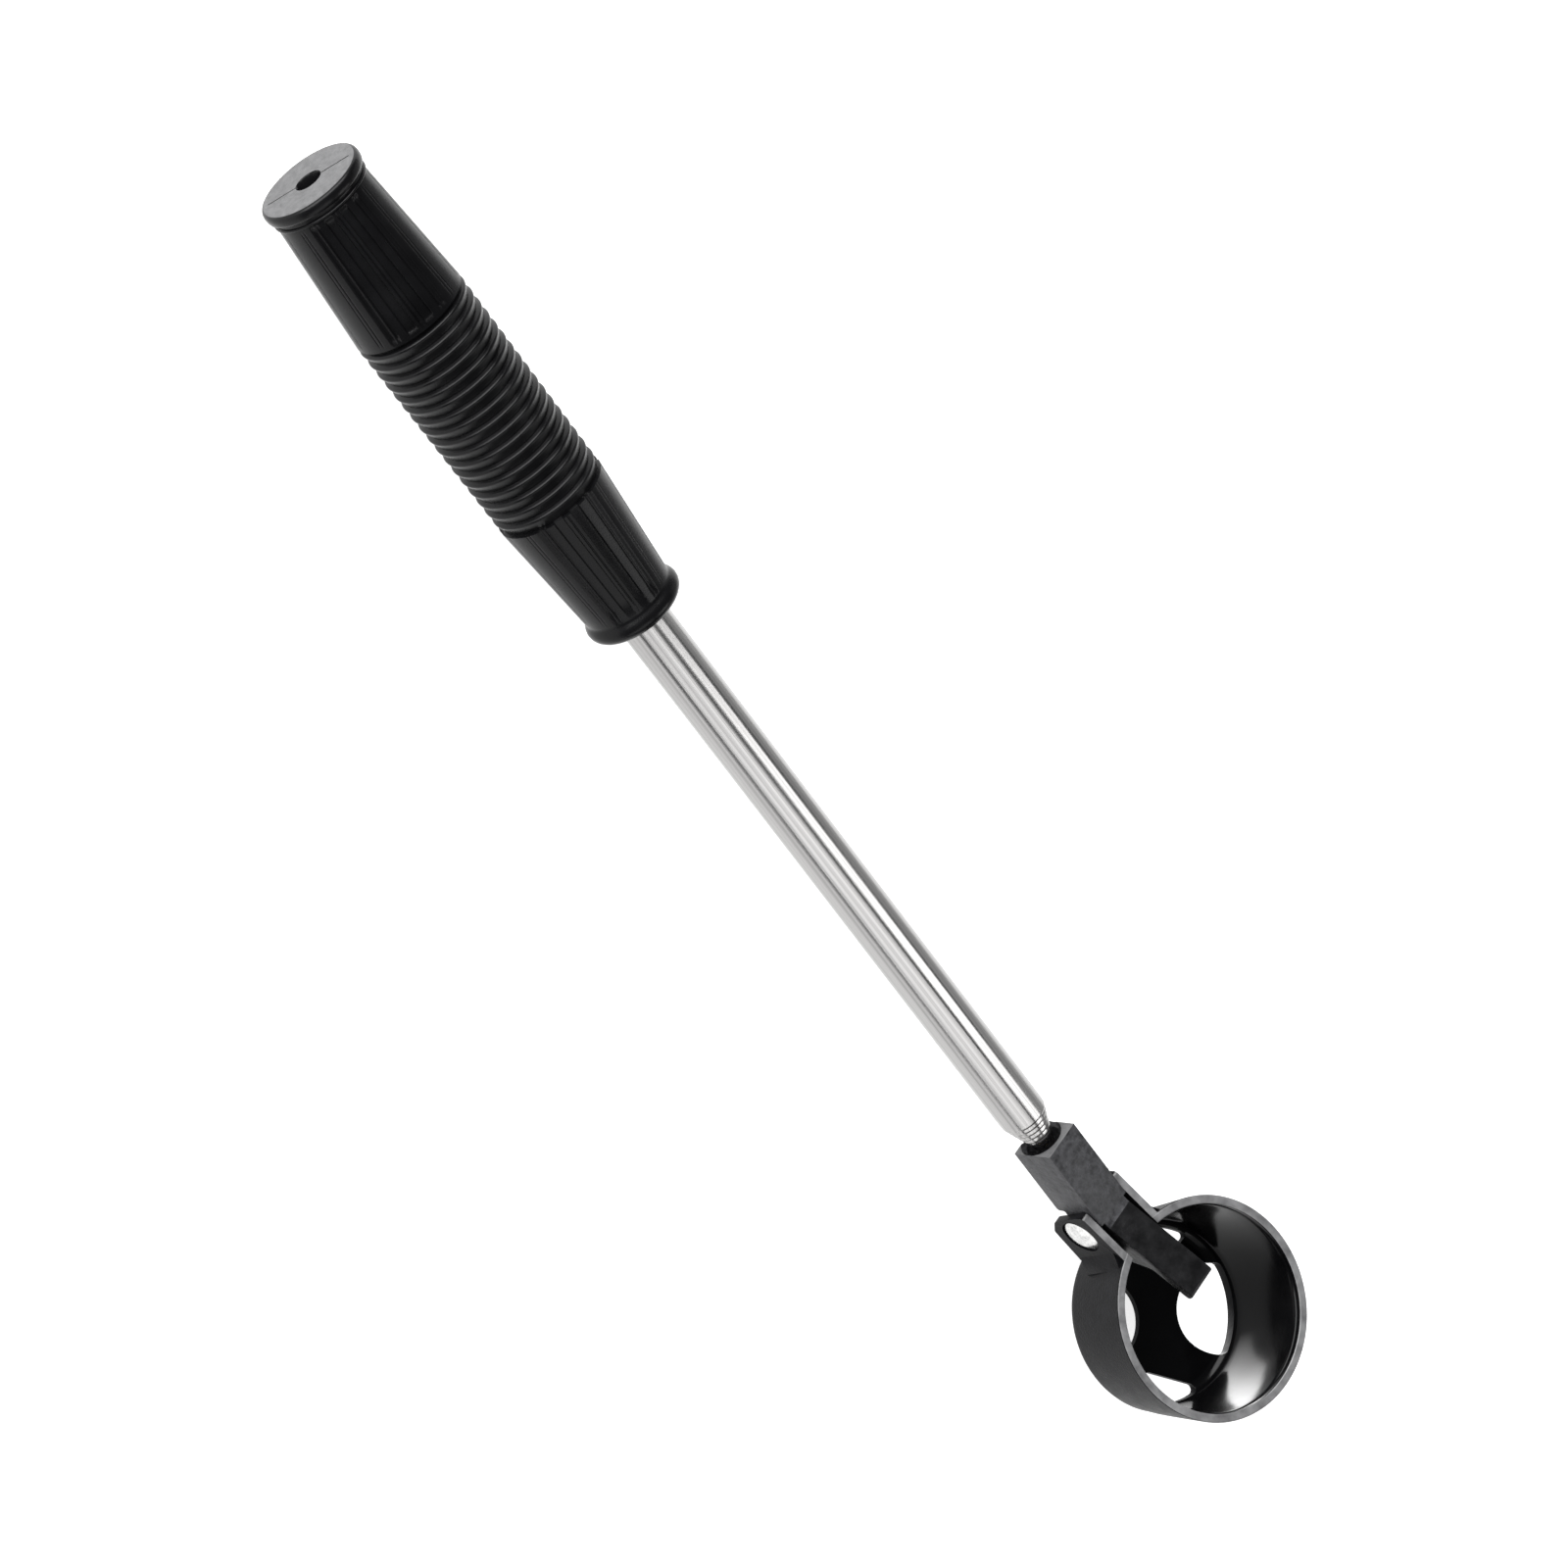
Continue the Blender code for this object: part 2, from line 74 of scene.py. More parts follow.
def mm(along, side=0.0, up=0.0):
    """Shaft coordinates to a point in the row frame."""
    return Vector((BUTT + along * MM, side * MM, AXIS_UP + up * MM))


def ring_point(forward, side, above):
    """Ring coordinates to shaft coordinates."""
    cos, sin = math.cos(RING_TILT), math.sin(RING_TILT)
    along = RING_CENTRE[0] + forward * cos - above * sin
    up = RING_CENTRE[1] + forward * sin + above * cos
    return along, side, up


# ---------------------------------------------------------------- node materials
NOISE_LOW, NOISE_HIGH = 0.3, 0.7      # the part of a noise's range that is used
STREAK_SCALE = 1.5                    # along the shaft
STREAK_DEPTH = 0.00001
PATCH_SCALE = (14.0, 240.0, 240.0)
SCUFF_DEPTH = 0.00002


def new_material(name):
    mat = bpy.data.materials.new(name)
    mat.use_nodes = True
    return mat, mat.node_tree.nodes, mat.node_tree.links, mat.node_tree.nodes["Principled BSDF"]


def stretched_noise(nodes, links, scale, detail, rough=0.6):
    """Noise in the piece's own coordinates, with its own scale on each axis."""
    coords = nodes.new("ShaderNodeTexCoord")
    mapping = nodes.new("ShaderNodeMapping")
    mapping.inputs["Scale"].default_value = scale
    noise = nodes.new("ShaderNodeTexNoise")
    noise.inputs["Scale"].default_value = 1.0
    noise.inputs["Detail"].default_value = detail
    noise.inputs["Roughness"].default_value = rough
    links.new(coords.outputs["Object"], mapping.inputs["Vector"])
    links.new(mapping.outputs["Vector"], noise.inputs["Vector"])
    return noise.outputs["Fac"]


def spread(nodes, links, value, low, high):
    """Maps a noise to low..high."""
    node = nodes.new("ShaderNodeMapRange")
    node.inputs["From Min"].default_value = NOISE_LOW
    node.inputs["From Max"].default_value = NOISE_HIGH
    node.inputs["To Min"].default_value = low
    node.inputs["To Max"].default_value = high
    links.new(value, node.inputs["Value"])
    return node.outputs["Result"]


def two_tone(nodes, links, value, dark, light):
    """Blends two colours by a noise."""
    ramp = nodes.new("ShaderNodeValToRGB")
    ramp.color_ramp.elements[0].position = NOISE_LOW
    ramp.color_ramp.elements[0].color = (*dark, 1.0)
    ramp.color_ramp.elements[1].position = NOISE_HIGH
    ramp.color_ramp.elements[1].color = (*light, 1.0)
    links.new(value, ramp.inputs["Fac"])
    return ramp.outputs["Color"]


def bump(nodes, links, value, distance, strength=1.0):
    """Relief from a noise."""
    node = nodes.new("ShaderNodeBump")
    node.inputs["Distance"].default_value = distance
    node.inputs["Strength"].default_value = strength
    links.new(value, node.inputs["Height"])
    return node.outputs["Normal"]


def moulded(name, dark, light, rough, grain, grain_depth, specular=0.5, mottle=90.0):
    """Moulded plastic or rubber: slightly uneven colour and gloss, and a fine grain."""
    mat, nodes, links, shader = new_material(name)
    cloud = stretched_noise(nodes, links, (mottle, mottle, mottle), detail=3.0)
    links.new(two_tone(nodes, links, cloud, dark, light), shader.inputs["Base Color"])
    links.new(spread(nodes, links, cloud, *rough), shader.inputs["Roughness"])
    fine = stretched_noise(nodes, links, (grain, grain, grain), detail=2.0)
    links.new(bump(nodes, links, fine, grain_depth), shader.inputs["Normal"])
    shader.inputs["Specular IOR Level"].default_value = specular
    return mat


def drawn_metal(name, dark, light, rough, streaks):
    """Metal drawn along the shaft: long fine streaks in colour and relief, and patches of gloss."""
    mat, nodes, links, shader = new_material(name)
    shader.inputs["Metallic"].default_value = 1.0
    streak = stretched_noise(nodes, links, (STREAK_SCALE, streaks, streaks), detail=5.0, rough=0.7)
    patch = stretched_noise(nodes, links, PATCH_SCALE, detail=2.0)
    links.new(two_tone(nodes, links, streak, dark, light), shader.inputs["Base Color"])
    links.new(spread(nodes, links, patch, *rough), shader.inputs["Roughness"])
    links.new(bump(nodes, links, streak, STREAK_DEPTH), shader.inputs["Normal"])
    return mat


def bright_metal(name, dark, light, rough, scuffs):
    """Turned or polished metal with faint scuffs."""
    mat, nodes, links, shader = new_material(name)
    shader.inputs["Metallic"].default_value = 1.0
    scuff = stretched_noise(nodes, links, (scuffs, scuffs, scuffs), detail=4.0, rough=0.7)
    links.new(two_tone(nodes, links, scuff, dark, light), shader.inputs["Base Color"])
    links.new(spread(nodes, links, scuff, *rough), shader.inputs["Roughness"])
    links.new(bump(nodes, links, scuff, SCUFF_DEPTH, strength=0.5), shader.inputs["Normal"])
    return mat


GRIP_SKIN = moulded(
    "grip_skin", dark=(0.0016, 0.0016, 0.0018), light=(0.0036, 0.0036, 0.0040), rough=(0.22, 0.30),
    grain=2600.0, grain_depth=0.00002, specular=0.13)
# Painted light: a lighter copy of the grip's rubber for the butt face, adding to the light from behind.
GRIP_END_PAINTED_LIGHT = moulded(
    "grip_end_painted_light", dark=(0.042, 0.042, 0.043), light=(0.088, 0.088, 0.090), rough=(0.55, 0.70),
    grain=1800.0, grain_depth=0.00008, mottle=900.0)
ARM_SKIN = moulded(
    "arm_skin", dark=(0.008, 0.008, 0.009), light=(0.050, 0.050, 0.054), rough=(0.36, 0.56),
    grain=1100.0, grain_depth=0.00014, specular=0.3, mottle=620.0)
# Painted shade: a darker copy of the arm's plastic for the bent tongue.
TONGUE_PAINTED_SHADE = moulded(
    "tongue_painted_shade", dark=(0.0020, 0.0020, 0.0022), light=(0.0070, 0.0070, 0.0076), rough=(0.30, 0.42),
    grain=1100.0, grain_depth=0.00008, specular=0.25, mottle=300.0)
# Painted light: a lighter copy of the arm's plastic for the mouth's rear faces, which face the light from
# behind.
ARM_END_PAINTED_LIGHT = moulded(
    "arm_end_painted_light", dark=(0.042, 0.042, 0.043), light=(0.078, 0.078, 0.080), rough=(0.45, 0.60),
    grain=1100.0, grain_depth=0.00010, mottle=500.0)
CUP_SATIN = moulded(
    "cup_satin", dark=(0.0016, 0.0016, 0.0019), light=(0.0070, 0.0070, 0.0079), rough=(0.34, 0.44),
    grain=1800.0, grain_depth=0.00006, specular=0.05, mottle=400.0)
# Painted highlight: a lighter copy of the cup's plastic for the flat top of the rim and ears.
CUP_RIM_PAINTED_HIGHLIGHT = moulded(
    "cup_rim_painted_highlight", dark=(0.075, 0.075, 0.077), light=(0.17, 0.17, 0.173), rough=(0.30, 0.40),
    grain=1800.0, grain_depth=0.00004, mottle=260.0)
CUP_GLOSS = moulded(
    "cup_gloss", dark=(0.0015, 0.0015, 0.0017), light=(0.0030, 0.0030, 0.0033), rough=(0.12, 0.18),
    grain=900.0, grain_depth=0.000004, specular=0.12)
NYLON = moulded(
    "nylon", dark=(0.55, 0.54, 0.50), light=(0.68, 0.67, 0.62), rough=(0.45, 0.6),
    grain=1500.0, grain_depth=0.00003)
TUBE_STEEL = drawn_metal(
    "tube_steel", dark=(0.21, 0.207, 0.205), light=(0.44, 0.433, 0.428), rough=(0.15, 0.26),
    streaks=1500.0)
ROD_STEEL = drawn_metal(
    "rod_steel", dark=(0.30, 0.296, 0.292), light=(0.52, 0.512, 0.505), rough=(0.16, 0.26),
    streaks=2600.0)
RIVET_STEEL = bright_metal(
    "rivet_steel", dark=(0.42, 0.42, 0.415), light=(0.80, 0.80, 0.785), rough=(0.14, 0.28),
    scuffs=900.0)
SPRING_STEEL = bright_metal(
    "spring_steel", dark=(0.34, 0.34, 0.34), light=(0.5, 0.5, 0.5), rough=(0.25, 0.4),
    scuffs=1500.0)
BRASS = bright_metal(
    "brass", dark=(0.60, 0.43, 0.18), light=(0.80, 0.62, 0.30), rough=(0.22, 0.38),
    scuffs=1200.0)


# ---------------------------------------------------------------- mesh helpers
CORNER_STEPS = 5
TURNED_EDGE = 30.0            # degrees between faces from which an edge stays sharp
BEVEL_ANGLE = 32.0
BEVELLED_EDGE = 38.0


def mesh_object(name, bm, mat, sharp=40.0):
    """Turns a closed mesh into a smooth-shaded object that keeps its sharp edges."""
    bmesh.ops.recalc_face_normals(bm, faces=bm.faces)
    mesh = bpy.data.meshes.new(name)
    bm.to_mesh(mesh)
    bm.free()
    mesh.materials.append(mat)
    mesh.shade_smooth()
    mesh.set_sharp_from_angle(angle=math.radians(sharp))
    obj = bpy.data.objects.new(name, mesh)
    bpy.context.scene.collection.objects.link(obj)
    return obj


def skin(bm, loops, closed=False):
    """Joins equal loops of points one after another; closed also joins the last to the first."""
    rings = [[bm.verts.new(point) for point in loop] for loop in loops]
    pairs = list(zip(rings, rings[1:]))
    if closed:
        pairs.append((rings[-1], rings[0]))
    for low, high in pairs:
        for i in range(len(low)):
            j = (i + 1) % len(low)
            bm.faces.new((low[i], low[j], high[j], high[i]))
    if not closed:
        bm.faces.new(rings[0])
        bm.faces.new(rings[-1])


def full_turn(count):
    """Equal steps round a circle, in radians."""
    return [2.0 * math.pi * i / count for i in range(count)]


def turn_x(name, profile, mat, closed=True, count=96):
    """Piece turned about the shaft from (along, radius) points."""
    turns = full_turn(count)
    bm = bmesh.new()
    skin(bm, [[mm(x, r * math.cos(a), r * math.sin(a)) for a in turns] for x, r in profile], closed)
    return mesh_object(name, bm, mat, TURNED_EDGE)


def turn_y(name, profile, mat, count=64, sharp=TURNED_EDGE):
    """Piece turned about the rivet's axis from (side, radius) points."""
    turns = full_turn(count)
    loops = []
    for side, r in profile:
        loops.append([mm(PIN[0] + r * math.cos(a), side, PIN[1] + r * math.sin(a)) for a in turns])
    bm = bmesh.new()
    skin(bm, loops)
    return mesh_object(name, bm, mat, sharp)


def arc(centre, radius, start, end, steps):
    """Points on an arc; angles in degrees."""
    angles = [math.radians(start + (end - start) * i / steps) for i in range(steps + 1)]
    return [(centre[0] + radius * math.cos(a), centre[1] + radius * math.sin(a)) for a in angles]


def sharp_corners(points):
    """Points as corners that round_corners() leaves as they are."""
    return [(x, y, 0.0) for x, y in points]


def round_corners(corners):
    """Rounds a polygon's corners; each corner is (x, y, radius)."""
    points = []
    for i, (x, y, radius) in enumerate(corners):
        if radius <= 0.0:
            points.append((x, y))
            continue
        here = Vector((x, y))
        before = (Vector(corners[i - 1][:2]) - here).normalized()
        after = (Vector(corners[(i + 1) % len(corners)][:2]) - here).normalized()
        half = before.angle(after) / 2.0
        reach = radius / math.tan(half)
        centre = here + (before + after).normalized() * (radius / math.sin(half))
        start = here + before * reach - centre
        sweep = start.angle_signed(here + after * reach - centre)
        for k in range(CORNER_STEPS + 1):
            points.append(tuple(centre + Matrix.Rotation(-sweep * k / CORNER_STEPS, 2) @ start))
    return points


def side_slab(name, outline, low, high):
    """Slab of a side-view outline of (along, up) points between two sides."""
    bm = bmesh.new()
    skin(bm, [[mm(x, side, z) for x, z in outline] for side in (low, high)])
    return mesh_object(name, bm, ARM_SKIN)


def ring_slab(name, outline, low, high):
    """Slab of a side-view outline of (forward, above) ring points between two sides."""
    bm = bmesh.new()
    skin(bm, [[mm(*ring_point(f, side, w)) for f, w in outline] for side in (low, high)])
    return mesh_object(name, bm, CUP_SATIN)


def ring_prism(name, outline, low, high):
    """Prism of a plan outline of (forward, side) ring points between two heights."""
    bm = bmesh.new()
    skin(bm, [[mm(*ring_point(f, side, w)) for f, side in outline] for w in (low, high)])
    return mesh_object(name, bm, CUP_SATIN)


def bake(obj):
    """Replaces an object's mesh by what its modifiers make."""
    bpy.context.view_layer.update()
    evaluated = obj.evaluated_get(bpy.context.evaluated_depsgraph_get())
    mesh = bpy.data.meshes.new_from_object(evaluated)
    obj.modifiers.clear()
    obj.data = mesh


def combine(obj, tool, operation):
    """Adds or cuts a tool for good, and removes it."""
    mod = obj.modifiers.new("combine", "BOOLEAN")
    mod.operation = operation
    mod.solver = "EXACT"
    mod.object = tool
    bake(obj)
    bpy.data.objects.remove(tool, do_unlink=True)


def soften(obj, width, sharp=BEVELLED_EDGE):
    """Small rounds on an object's sharp edges."""
    mod = obj.modifiers.new("soften", "BEVEL")
    mod.width = width * MM
    mod.segments = 2
    mod.limit_method = "ANGLE"
    mod.angle_limit = math.radians(BEVEL_ANGLE)
    mod.harden_normals = False
    mod.use_clamp_overlap = True
    bake(obj)
    obj.data.shade_smooth()
    obj.data.set_sharp_from_angle(angle=math.radians(sharp))


def stand_for(obj, node, body):
    """The piece takes a CAD node's place."""
    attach(obj, body)
    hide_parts(node)


# ---------------------------------------------------------------- grip
UPPER_CONE = (4.5, 34.4, 10.42, 12.42)        # start, end, radius at the start, radius at the end
LOWER_CONE = (84.9, 113.2, 12.25, 10.12)
UPPER_FLUTES = (5.0, 33.2)
LOWER_FLUTES_END = 111.2
RIB_START, RIB_END, RIB_COUNT = 35.2, 84.6, 17
FIRST_CREST, LAST_CREST = 12.5, 12.2
GRIP_BORE = 5.62
BUTT_HOLE, BUTT_WALL = 2.65, 4.0

# Flutes repeat round the grip. Their edges are in degrees on each side of the middle ridge's groove.
FLUTE_MIDDLE = 118.0
FLUTE_PERIOD = 120.0
FLUTE_DEPTH = 0.5
MIDDLE_GROOVE, MIDDLE_RIDGE = 0.7, 4.6
OUTER_RIDGE = (14.7, 23.9)
FINE_RIDGE = (26.3, 28.3)
PANEL_START = 32.5
PANEL_LINES = (42.8, 46.8)
LINE_HALF = 0.4
MIDDLE_GROOVE_DEPTH, FINE_RIDGE_HEIGHT, LINE_DEPTH = 0.45, 0.55, 0.16     # shares of the flutes' depth
RIDGE_EDGE, GROOVE_EDGE, FINE_RIDGE_EDGE, PANEL_EDGE, LINE_EDGE = 1.1, 0.7, 0.9, 2.4, 0.5
TURN_STEP, CLOSEST_TURN = 2.5, 0.2

PARTING_LENGTH, PARTING_WIDTH, PARTING_DEPTH = 18.8, 0.32, 0.12
PARTING_TURN = math.radians(45.0)


def cone_radius(x, cone):
    start, end, first, last = cone
    return first + (last - first) * (x - start) / (end - start)


def plain(points):
    """Rows of the grip without flutes."""
    return [(x, radius, "") for x, radius in points]


def grip_skin_points():
    """Outside of the grip from the butt to the front as (along, radius, fluted zone)."""
    butt_flange = [(0.0, 10.6), (0.15, 10.95), (0.5, 11.2), (1.1, 11.3), (1.8, 11.25), (2.3, 11.12)]
    butt_flange += [(2.6, 10.8), (2.8, 10.35), (3.2, 10.28), (3.5, 10.3)]
    bead = [(3.6, 10.6), (3.75, 10.74), (3.95, 10.76), (4.1, 10.66), (4.2, 10.38)]
    points = plain(butt_flange + bead)
    for x in (4.5, 4.8, 5.2, 5.7, 6.3, 8.0, 11.0, 14.5, 18.0, 21.5, 25.0, 28.5, 31.2):
        points.append((x, cone_radius(x, UPPER_CONE), "upper"))
    for x in (32.0, 32.6, 33.1, 33.5, 33.9, 34.2, 34.4):
        points.append((x, cone_radius(x, UPPER_CONE), "upper"))
    points += plain([(34.5, 12.3), (34.65, 11.9), (34.9, 11.75)])
    points += plain(rib_points())
    points += plain([(84.5, 11.55), (84.75, 11.5)])
    for x in (84.9, 85.0, 85.3, 86.0, 87.5, 90.0, 93.5, 97.0, 100.5, 104.0, 107.0):
        points.append((x, cone_radius(x, LOWER_CONE), "lower"))
    for x in (108.5, 109.6, 110.6, 111.5, 112.2, 112.8, 113.2):
        points.append((x, cone_radius(x, LOWER_CONE), "lower"))
    front_flange = [(113.6, 10.3), (114.1, 10.62), (114.6, 10.86), (115.2, 11.0), (115.9, 10.94)]
    front_flange += [(116.5, 10.68), (117.0, 10.25), (117.4, 9.65), (117.65, 8.9), (117.8, 8.1)]
    front_flange += [(117.85, 7.2)]
    return points + plain(front_flange)


def rib_points():
    """The middle's ribs: each rises steeply to a narrow crest and falls away slowly."""
    pitch = (RIB_END - RIB_START) / RIB_COUNT
    rib = [(0.0, 0.80), (0.2, 0.48), (0.38, 0.14), (0.52, 0.03), (0.68, 0.0), (0.84, 0.02)]
    rib += [(1.0, 0.08), (1.25, 0.2), (2.0, 0.5), (2.78, 0.8)]
    points = []
    for i in range(RIB_COUNT):
        crest = FIRST_CREST + (LAST_CREST - FIRST_CREST) * i / (RIB_COUNT - 1)
        points += [(RIB_START + i * pitch + along, crest - drop) for along, drop in rib]
    return points


def step(value, edge, width):
    """Smooth step from 0 to 1 round an edge."""
    t = min(max((value - edge) / width + 0.5, 0.0), 1.0)
    return t * t * (3.0 - 2.0 * t)


def between(value, low, high, width):
    return step(value, low, width) * (1.0 - step(value, high, width))


def flute_drop(turn):
    """How deep the grooves are at an angle round the grip, from 0 on a ridge to 1 in a groove."""
    half = FLUTE_PERIOD / 2.0
    local = abs((turn - FLUTE_MIDDLE + half) % FLUTE_PERIOD - half)
    groove = MIDDLE_GROOVE_DEPTH * (1.0 - step(local, MIDDLE_GROOVE, GROOVE_EDGE))
    middle = 1.0 - step(local, MIDDLE_RIDGE, RIDGE_EDGE) - groove
    outer = between(local, *OUTER_RIDGE, RIDGE_EDGE)
    fine = FINE_RIDGE_HEIGHT * between(local, *FINE_RIDGE, FINE_RIDGE_EDGE)
    lines = sum(between(local, line - LINE_HALF, line + LINE_HALF, LINE_EDGE) for line in PANEL_LINES)
    panel = step(local, PANEL_START, PANEL_EDGE) - LINE_DEPTH * lines
    return 1.0 - max(middle, outer, fine, panel)


def grip_turns():
    """Angles round the grip, close together where the flutes have edges."""
    half = FLUTE_PERIOD / 2.0
    edges = (MIDDLE_GROOVE, MIDDLE_RIDGE, *OUTER_RIDGE, *FINE_RIDGE, PANEL_START, *PANEL_LINES)
    offsets = (-1.2, -0.55, -0.25, 0.25, 0.55, 1.2)
    local = {round(sign * (edge + offset), 3) for edge in edges for offset in offsets for sign in (-1, 1)}
    local |= {-half + TURN_STEP * i for i in range(round(FLUTE_PERIOD / TURN_STEP))}
    ordered = sorted(value for value in local if -half <= value < half)
    kept = [ordered[0]]
    for value in ordered[1:]:
        if value - kept[-1] > CLOSEST_TURN:
            kept.append(value)
    repeats = round(360.0 / FLUTE_PERIOD)
    return [FLUTE_MIDDLE + FLUTE_PERIOD * k + value for k in range(repeats) for value in kept]


def grip_end_mask(x, zone):
    """Grooves fade out at the ends of each fluted zone."""
    if zone == "upper":
        return between(x, *UPPER_FLUTES, 1.2)
    if zone == "lower":
        return 1.0 - step(x, LOWER_FLUTES_END, 3.6)
    return 0.0


def parting_groove():
    """Cutter for the fine parting line across the butt face."""
    run = Vector((math.cos(PARTING_TURN), math.sin(PARTING_TURN)))
    across = Vector((-run.y, run.x))
    corners = []
    for i, j in ((1, 1), (-1, 1), (-1, -1), (1, -1)):
        corners.append(run * (PARTING_LENGTH / 2.0) * i + across * (PARTING_WIDTH / 2.0) * j)
    bm = bmesh.new()
    skin(bm, [[mm(x, corner.x, corner.y) for corner in corners] for x in (-0.3, PARTING_DEPTH)])
    return mesh_object("parting_groove", bm, GRIP_SKIN)


def make_grip():
    turns = grip_turns()
    drops = [flute_drop(turn) for turn in turns]
    cosines = [(math.cos(math.radians(turn)), math.sin(math.radians(turn))) for turn in turns]
    loops = []
    for x, radius, zone in grip_skin_points():
        depth = FLUTE_DEPTH * grip_end_mask(x, zone)
        loop = []
        for drop, (cos, sin) in zip(drops, cosines):
            r = radius - depth * drop
            loop.append(mm(x, r * cos, r * sin))
        loops.append(loop)
    inside = [(117.8, 6.1), (117.6, GRIP_BORE), (BUTT_WALL, GRIP_BORE), (BUTT_WALL, BUTT_HOLE)]
    inside += [(0.4, BUTT_HOLE), (0.0, 2.95), (0.0, 9.6)]
    for x, radius in inside:
        loops.append([mm(x, radius * cos, radius * sin) for cos, sin in cosines])
    bm = bmesh.new()
    skin(bm, loops, closed=True)
    grip = mesh_object("fluted_grip", bm, GRIP_SKIN, sharp=50.0)
    # The butt face gets painted light, a lighter copy of the grip's rubber.
    grip.data.materials.append(GRIP_END_PAINTED_LIGHT)
    for face in grip.data.polygons:
        face.material_index = int(face.center.x < mm(0.05).x)
    combine(grip, parting_groove(), "DIFFERENCE")
    stand_for(grip, "grip", "handle")


# ---------------------------------------------------------------- telescopic sections
SECTIONS = 8                  # seven tubes and the rod
FIRST_RADIUS = 5.5
NEST_STEP = 0.45              # each section is this much thinner than the one round it
WALL = 0.22
NOSE_GAP = 0.08               # from a nose's bore to the next section
NOSE_STEPS = 6
NECK_LENGTH = 4.9             # thinner rear end, under the collar
NECK_WALL = 0.16
THREAD_LENGTH, THREAD_PITCH, THREAD_TURNS = 6.0, 0.4, 14
THREAD_CREST, THREAD_ROOT = 1.62, 1.45
ROD_STEP = 0.21               # how much thinner the rod is under its collar


def section_radius(index):
    return FIRST_RADIUS - (index - 1) * NEST_STEP


def ends(node):
    """Rear and front of a CAD node, along the shaft."""
    low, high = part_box(node)
    return (low.x - BUTT) / MM, (high.x - BUTT) / MM


def nose_profile(tip, radius, bore):
    """Outside then inside of a swaged nose, from the full radius to the bore behind it."""
    lip = bore + WALL
    shoulder = radius - 0.05
    points = [(tip - 1.5, radius), (tip - 1.15, shoulder)]
    for i in range(1, NOSE_STEPS + 1):
        a = math.radians(90.0 * i / NOSE_STEPS)
        points.append((tip - 1.1 + 0.85 * math.sin(a), lip + (shoulder - lip) * math.cos(a)))
    points += [(tip - 0.2, lip - 0.03), (tip - 0.1, lip - 0.09), (tip - 0.03, lip - 0.15)]
    points += [(tip, bore + 0.02), (tip - 0.5, bore), (tip - 1.3, radius - WALL)]
    return points


def make_tubes():
    for index in range(1, SECTIONS):
        rear, tip = ends("tube_%d" % index)
        radius = section_radius(index)
        bore = section_radius(index + 1) + NOSE_GAP
        nose = nose_profile(tip, radius, bore)
        if index == 1:
            profile = [(rear, radius - 0.06), (rear + 0.06, radius), *nose, (rear, radius - WALL)]
        else:
            front = rear + NECK_LENGTH
            profile = [(rear, bore + NECK_WALL), (front, bore + NECK_WALL)]
            profile += [(front + 0.3, radius - 0.05), (front + 0.6, radius), *nose]
            profile += [(front + 0.6, radius - WALL), (front + 0.1, bore), (rear, bore)]
        tube = turn_x("section_tube_%d" % index, profile, TUBE_STEEL)
        body = "handle" if index == 1 else "section_%d" % index
        stand_for(tube, "tube_%d" % index, body)


def make_rod():
    rear, front = ends("rod_8")
    radius = section_radius(SECTIONS)
    thread = front - THREAD_LENGTH
    profile = [(rear, radius - 0.5), (rear + 0.3, radius - ROD_STEP), (rear + 5.0, radius - ROD_STEP)]
    profile += [(rear + 5.4, radius), (thread - 0.6, radius), (thread - 0.3, THREAD_CREST)]
    for i in range(THREAD_TURNS):
        along = thread + THREAD_PITCH * i
        profile += [(along, THREAD_CREST), (along + THREAD_PITCH / 2.0, THREAD_ROOT)]
    profile += [(front, 1.2)]
    rod = turn_x("head_rod", profile, ROD_STEEL, closed=False, count=64)
    stand_for(rod, "rod_8", "head")


# ---------------------------------------------------------------- socket arm
ARM_MOUTH, ARM_HALF, ARM_TOP, ARM_BOTTOM = 278.6, 4.97, 6.5, -4.6
SOCKET_RADIUS, SOCKET_DEPTH = 4.25, 13.0
SCREW_RADIUS, SCREW_DEPTH = 3.4, 19.0
STEP_AT = 297.2
PIN_HOLE = 2.3
POCKET_HALF, POCKET_RADIUS = 2.6, 4.3
TONGUE_TIP = (323.9, 17.95)
TONGUE_ANGLE = math.radians(27.6)
TONGUE_THICK, TONGUE_HALF, TONGUE_LENGTH = 2.6, 4.0, 10.5
TONGUE_SHADE_START = 303.0          # where the painted shade on the tongue starts, a darker copy of the arm's plastic
WEB_TOP = -13.2               # top of the cup's wall between the ears, below the rim
# Material slots of the arm: the mouth's rear faces with painted light, the tongue with painted shade.
MOUTH_PAINTED_LIGHT_FACES, TONGUE_SHADE_FACES = 1, 2


def arm_outline():
    """Side view of the arm: socket, stepped underside, stop and bent tongue."""
    tip_x, tip_z = TONGUE_TIP
    run = Vector((math.cos(TONGUE_ANGLE), math.sin(TONGUE_ANGLE)))
    low_tip = Vector(TONGUE_TIP) + Vector((run.y, -run.x)) * TONGUE_THICK
    root = low_tip - run * TONGUE_LENGTH
    bend_x = tip_x - (tip_z - ARM_TOP) / math.tan(TONGUE_ANGLE)
    stop = [ring_point(forward, 0.0, WEB_TOP + 0.3) for forward in (-28.6, -24.9)]
    corners = [(ARM_MOUTH, ARM_BOTTOM, 0.0), (STEP_AT, ARM_BOTTOM, 0.7), (STEP_AT, -2.55, 0.5)]
    corners += sharp_corners(arc(PIN, 4.1, -150.0, -62.0, 12))
    corners += [(along, up, 0.3) for along, _, up in stop]
    corners += [(312.4, 1.2, 1.2), (root.x, root.y, 2.5), (low_tip.x, low_tip.y, 0.8), (tip_x, tip_z, 0.9)]
    corners += [(bend_x, ARM_TOP, 4.0), (ARM_MOUTH, ARM_TOP, 0.0)]
    return round_corners(corners)


